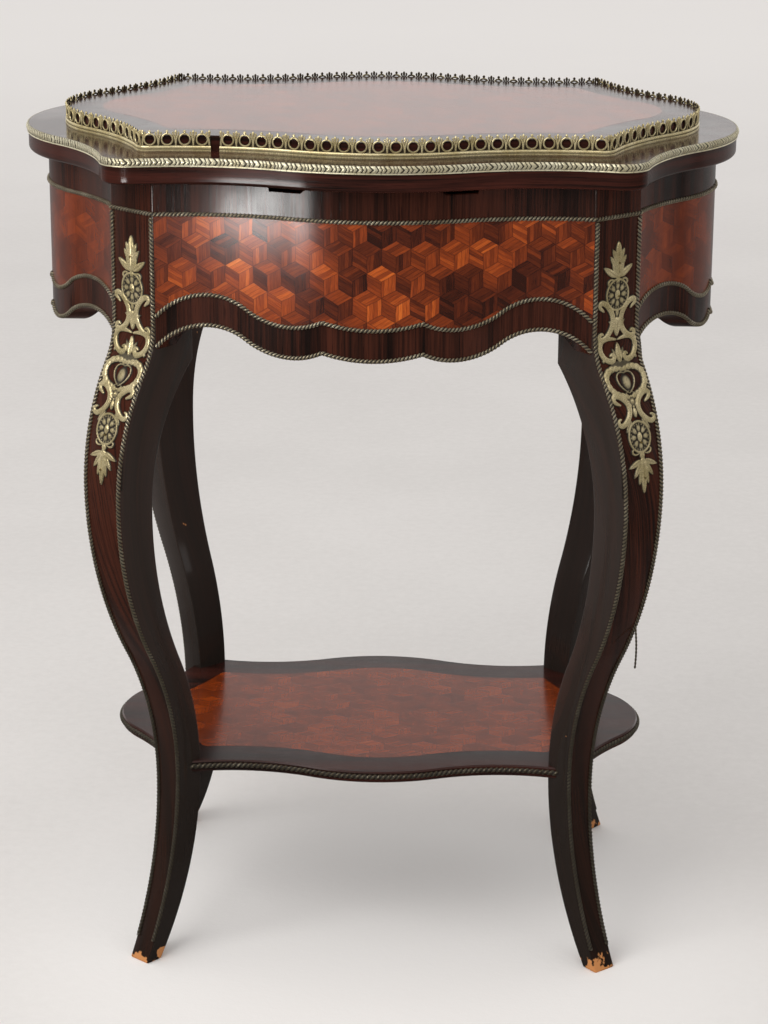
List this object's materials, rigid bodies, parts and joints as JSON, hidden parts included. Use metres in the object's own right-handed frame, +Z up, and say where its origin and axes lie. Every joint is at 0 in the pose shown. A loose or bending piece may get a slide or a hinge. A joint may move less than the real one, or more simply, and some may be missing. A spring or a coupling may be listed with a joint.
{
  "type": "dressing table",
  "caption": "Small dressing table with cabriole legs, a hinged lid with brass gallery over a partitioned well, a mirror under the lid and a low shelf.",
  "frame": {"origin": "on the floor under the middle of the table", "axes": "+Z up, +X along the length, +Y to the back where the hinges are"},
  "size_m": [0.612, 0.422, 0.7372],
  "materials": {
    "dark_veneer": "glossy French polish on dark striped veneer",
    "cube_parquetry": "glossy polish on cube parquetry in three tones",
    "gilt_brass": "worn gilt brass",
    "dull_brass": "dull aged brass",
    "hinge_brass": "brushed brass",
    "steel": "plain steel",
    "stained_wood": "dark stained wood",
    "plain_wood": "plain oiled wood",
    "mirror": "silvered glass"
  },
  "bodies": {
    "case": {"apron_beading_front": "dull_brass", "apron_beading_left": "dull_brass", "apron_beading_rear": "dull_brass", "apron_beading_right": "dull_brass", "apron_front": "dark_veneer", "apron_left": "dark_veneer", "apron_rear": "dark_veneer", "apron_right": "dark_veneer", "bottom_battens": "plain_wood", "cube_panel_front": "cube_parquetry", "cube_panel_left": "cube_parquetry", "cube_panel_rear": "cube_parquetry", "cube_panel_right": "cube_parquetry", "hinge_case_leaf_left": "hinge_brass", "hinge_case_leaf_right": "hinge_brass", "hinge_pin_left": "steel", "hinge_pin_right": "steel", "hinge_screws_case": "steel", "leg_beading_front_left": "dull_brass", "leg_beading_front_right": "dull_brass", "leg_beading_rear_left": "dull_brass", "leg_beading_rear_right": "dull_brass", "leg_front_left": "dark_veneer", "leg_front_right": "dark_veneer", "leg_mount_front_left": "dull_brass", "leg_mount_front_right": "dull_brass", "leg_mount_rear_left": "dull_brass", "leg_mount_rear_right": "dull_brass", "leg_rear_left": "dark_veneer", "leg_rear_right": "dark_veneer", "mount_pins": "dull_brass", "partition_left": "plain_wood", "partition_right": "plain_wood", "shelf_beading": "dull_brass", "shelf_board": "dark_veneer", "shelf_cube_panel": "cube_parquetry", "shelf_dowels": "plain_wood", "waist_beading": "dull_brass", "well_bottom": "plain_wood"},
    "lid": {"gallery_front": "gilt_brass", "gallery_left": "gilt_brass", "gallery_pins": "gilt_brass", "gallery_rear": "gilt_brass", "gallery_right": "gilt_brass", "hinge_lid_leaf_left": "hinge_brass", "hinge_lid_leaf_right": "hinge_brass", "hinge_screws_lid": "steel", "lid_board": "dark_veneer", "lid_cube_panel": "cube_parquetry", "lid_raised_board": "dark_veneer", "lid_rim_beading": "gilt_brass", "mirror_frame": "stained_wood", "mirror_glass": "mirror", "mirror_screws": "steel"}
  },
  "joints": [
    {"name": "lid_hinge", "type": "hinge", "parent": "case", "child": "lid", "pos_m": [0, 0.195, 0.69495], "axis": [-1, 0, 0], "range_deg": [0, 95]}
  ]
}
